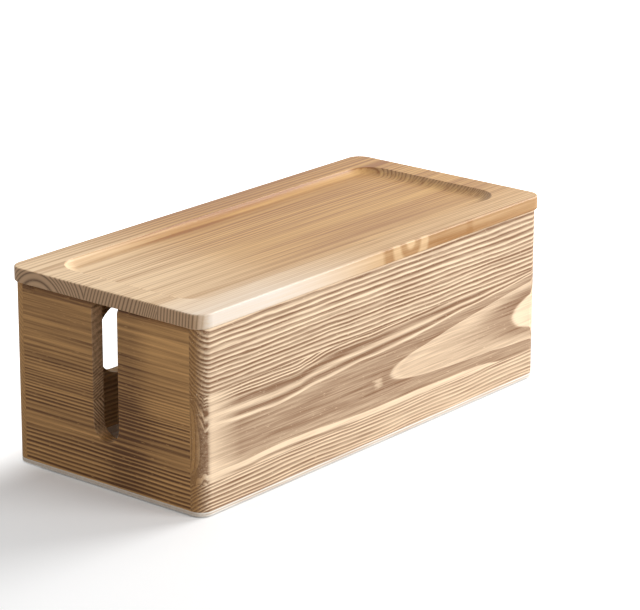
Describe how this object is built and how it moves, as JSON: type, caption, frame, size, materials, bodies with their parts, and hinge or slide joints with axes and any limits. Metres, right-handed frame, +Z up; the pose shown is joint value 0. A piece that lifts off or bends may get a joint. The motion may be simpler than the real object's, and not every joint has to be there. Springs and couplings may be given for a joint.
{
  "type": "cable management box",
  "caption": "Long wooden box with a lift-off tray lid, a rounded cable opening in the back wall and an open-topped cable slot in each end wall.",
  "frame": {"origin": "on the ground, under the middle of the box", "axes": "+Z up, X along the length with the end walls at each side, plain front wall towards -Y, wall with the cable opening towards +Y"},
  "size_m": [0.4, 0.185, 0.149],
  "materials": {
    "front_wood": "flame-brushed softwood with raised dark rings, matt",
    "back_wood": "flame-brushed softwood with raised dark rings, matt",
    "end_wood": "flame-brushed softwood with fine rings, matt",
    "lid_wood": "planed and sanded softwood, satin",
    "cleat_wood": "planed softwood",
    "plywood": "thin pale plywood, sanded edge",
    "pad_rubber": "matt foot pads",
    "steel": "bright pins and brads",
    "screw_steel": "yellow-passivated countersunk wood screws"
  },
  "bodies": {
    "case": {"front_lower_stave": "front_wood", "front_middle_stave": "front_wood", "front_upper_stave": "front_wood", "back_lower_stave": "back_wood", "back_upper_stave": "back_wood", "left_end_lower_stave": "end_wood", "left_end_front_stave": "end_wood", "left_end_back_stave": "end_wood", "right_end_lower_stave": "end_wood", "right_end_front_stave": "end_wood", "right_end_back_stave": "end_wood", "base_panel": "plywood", "front_left_pad": "pad_rubber", "front_right_pad": "pad_rubber", "back_left_pad": "pad_rubber", "back_right_pad": "pad_rubber", "corner_pins": "steel", "base_brads": "steel"},
    "lid": {"lid_front_stave": "lid_wood", "lid_middle_stave": "lid_wood", "lid_back_stave": "lid_wood", "left_cleat": "cleat_wood", "right_cleat": "cleat_wood", "cleat_screws": "screw_steel"}
  },
  "joints": [
    {"name": "lid_lift", "type": "slide", "parent": "case", "child": "lid", "axis": [0, 0, 1], "range_m": [0, 0.06]}
  ]
}
